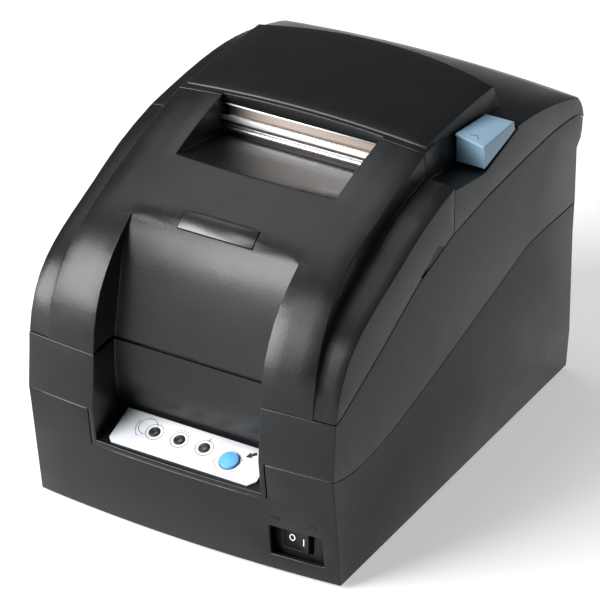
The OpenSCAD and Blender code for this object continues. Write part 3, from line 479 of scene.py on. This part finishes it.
def on_label(x, row, lift):
    """A point on the control label: x across, row up the slope, lift out of its face, in mm."""
    c, s = math.cos(LABEL_TILT), math.sin(LABEL_TILT)
    out = LABEL_TOP + lift
    return case_point(x, LABEL_MID[0] + row * c - out * s, LABEL_MID[1] + row * s + out * c)


def make_label_marks(grey, black, red):
    """Generic signs round the lamps and the button; the label carries no words."""
    def line(name, points, width, ink, closed=True):
        ribbon_loop(name, points, width, on_label, ink, "root", closed=closed)

    for i, (x, y) in enumerate(LAMPS):
        line(f"lamp_rim_{i}", circle(x, y, 2.42), 0.5, black)
        line(f"lamp_halo_{i}", circle(x, y, 4.1), 0.24, grey)
    x, y = LAMPS[0]
    line("roll_sign", circle(x - 4.2, y + 1.6, 4.3, 30, 20, 250), 0.3, grey, closed=False)
    line("roll_sign_tail", circle(x - 2.6, y + 1.4, 7.0, 16, 160, 76), 0.26, grey, closed=False)
    x, y = LAMPS[1]
    for k in range(5):
        turn = math.radians(50 + 20 * k)
        ray = [(x + r * math.cos(turn), y + r * math.sin(turn)) for r in (4.7, 5.7)]
        line(f"ray_sign_{k}", ray, 0.28, grey, closed=False)
    x, y = LAMPS[2]
    line("power_sign", [(x + 0.4, y + 3.3), (x + 0.4, y + 5.6)], 0.36, grey, closed=False)
    x, y = BUTTON
    line("button_rim", circle(x, y, 4.62), 0.3, black)
    corners = ((-7.1, -2.2), (-0.5, 6.1), (8.8, 0.2), (0.1, -8.3))
    line("button_diamond", [(x + dx, y + dy) for dx, dy in corners], 0.26, red)
    make_feed_arrow(x + 7.6, y + 5.9, math.radians(40), black)


def make_feed_arrow(x, y, turn, ink):
    c, s = math.cos(turn), math.sin(turn)
    above = [(-2.6, 0), (0.2, 1.7), (0.1, 0.75), (2.6, 0.85)]
    arrow = above + [(px, -py) for px, py in above[:0:-1]]
    flat_shape("feed_arrow", [(x + px * c - py * s, y + px * s + py * c) for px, py in arrow],
               on_label, ink, "root")


ROCKER = (54.6, 4.4, 16.0)
ROCKER_TURN = math.radians(-8)
ROCKER_FACE = 3.1
ROCKER_VEE = 1.1
ROCKER_HALF = 6.35


def on_rocker(x, z, lift):
    """A point on the rocker's two-sided face, lift mm in front of it."""
    c, s = math.cos(ROCKER_TURN), math.sin(ROCKER_TURN)
    y = -ROCKER_FACE - ROCKER_VEE * abs(x) / ROCKER_HALF - lift
    return case_point(ROCKER[0] + x * c - y * s, ROCKER[1] + x * s + y * c, ROCKER[2] + z)


def make_rocker_marks(white):
    """O and I on the two halves of the rocker."""
    oval = [(-2.75 + px, py * 1.25) for px, py in circle(0, 0.1, 1.15, 32)]
    ribbon_loop("rocker_off_sign", oval, 0.42, on_rocker, white, "rocker",
                height=0.08)
    ribbon_loop("rocker_on_sign", [(3.5, -1.7), (3.5, 1.7)], 0.5, on_rocker, white, "rocker",
                closed=False, height=0.08)


def bow(x):
    """How far the front stands forward at x, beyond its outer edges."""
    return (HALF_W ** 2 - x * x) / (2 * FRONT_BOW_R)


def front_face(x, z, out=0.0):
    """A point on the front of the lower case, out mm in front of it."""
    return case_point(x, 0.67 - 8.27 * (z + 5) / 62.4 - bow(x) - out, z)


WORD_Z = 28.2
WORD_SIZE = 3.4
WORD_RELIEF = 0.12


def make_words(material):
    """Raised switch words, which any such switch has."""
    for word, x in (("OFF", 46.3), ("ON", 64.2)):
        name = f"word_{word.lower()}"
        curve = bpy.data.curves.new(name, "FONT")
        curve.body, curve.size = word, WORD_SIZE * MM
        curve.align_x, curve.align_y = "CENTER", "CENTER"
        curve.extrude = WORD_RELIEF * MM
        curve.materials.append(material)
        piece = bpy.data.objects.new(name, curve)
        scene.collection.objects.link(piece)
        right = (front_face(x + 1, WORD_Z) - front_face(x - 1, WORD_Z)).normalized()
        up = (front_face(x, WORD_Z + 1) - front_face(x, WORD_Z - 1)).normalized()
        matrix = Matrix((right, up, right.cross(up))).transposed().to_4x4()
        matrix.translation = front_face(x, WORD_Z, 0.05)
        piece.matrix_world = matrix
        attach(piece, "root")


LEVER_X = 69
LEVER_W = 14.2
LEVER_TOP_Z = 158.6


def on_lever(x, y, lift):
    """A point on the lever's top, the lower of a slope to the right and one to the back."""
    across = 3 * (7.6 + x) / LEVER_W
    along = 3.2 * (y - 121.4) / 28
    return case_point(LEVER_X + x, y, LEVER_TOP_Z - max(across, along) + lift)


def make_lever_mark(material):
    """The small caret pressed into the lever's top near its front edge, drawn as a thin dark-blue
    line: painted shade of its groove.
    """
    caret = [(-2.1, 125.2), (0.1, 127.4), (1.9, 125.0)]
    ribbon_loop("lever_mark", caret, 0.4, on_lever, material, "lever",
                closed=False, height=0.05)


# ---------- raised lines ----------

LIP_Y, LIP_Z, LIP_R = 97.55, 157.35, 0.5
LIP_HALF = 39.2
LIP_RING = 10

RIDGE_Y, RIDGE_Z = -5.15, 39.3
RIDGE_HALF = 43.2
RIDGE_H = 0.5
RIDGE_PROUD = 0.12
RIDGE_STEPS = 40


def make_slot_lip(material):
    """Bright rolled lip over the paper slot."""
    verts = [case_point(x, y, z) for x in (-LIP_HALF, LIP_HALF)
             for y, z in circle(LIP_Y, LIP_Z, LIP_R, LIP_RING)]
    add_mesh("slot_lip", verts, sweep_faces(2, LIP_RING), material, "rear_lid",
             smooth=True)


def make_bezel_ridge(material):
    """A thin raised line across the front under the label, following the case's bow."""
    verts = []
    for i in range(RIDGE_STEPS + 1):
        x = -RIDGE_HALF + 2 * RIDGE_HALF * i / RIDGE_STEPS
        y = RIDGE_Y - bow(x)
        for dy, dz in ((0.1, -1 / 2), (-RIDGE_PROUD, -1 / 4), (-RIDGE_PROUD, 1 / 4), (0.1, 1 / 2)):
            verts.append(case_point(x, y + dy, RIDGE_Z + dz * RIDGE_H))
    add_mesh("bezel_ridge", verts, sweep_faces(RIDGE_STEPS + 1, 4), material, "root")


def make_pieces(made):
    grey = plastic("label_ink_grey", (0.06, 0.065, 0.07), 0.5, grain=0)
    black = plastic("label_ink_black", (0.012, 0.012, 0.013), 0.4, grain=0)
    red = plastic("label_ink_outline", (0.28, 0.13, 0.12), 0.5, grain=0)
    white = plastic("rocker_ink_white", (0.85, 0.86, 0.88), 0.4, grain=0)
    # painted shade: a dark blue that stands in for the shade in the lever's pressed caret
    caret_groove_shade = plastic("lever_caret_painted_shade", (0.05, 0.10, 0.16), 0.5, grain=0)
    relief = plastic("relief_plastic", scaled(CHARCOAL, 0.8), 0.25, grain=0)
    make_label_marks(grey, black, red)
    make_rocker_marks(white)
    make_words(relief)
    make_lever_mark(caret_groove_shade)
    make_slot_lip(made["bar_steel"])
    make_bezel_ridge(made["case_plastic"])


set_camera()
set_studio()
materials = make_materials()
dress_nodes()
make_pieces(materials)
scene.view_settings.view_transform = "Standard"
bpy.context.view_layer.update()
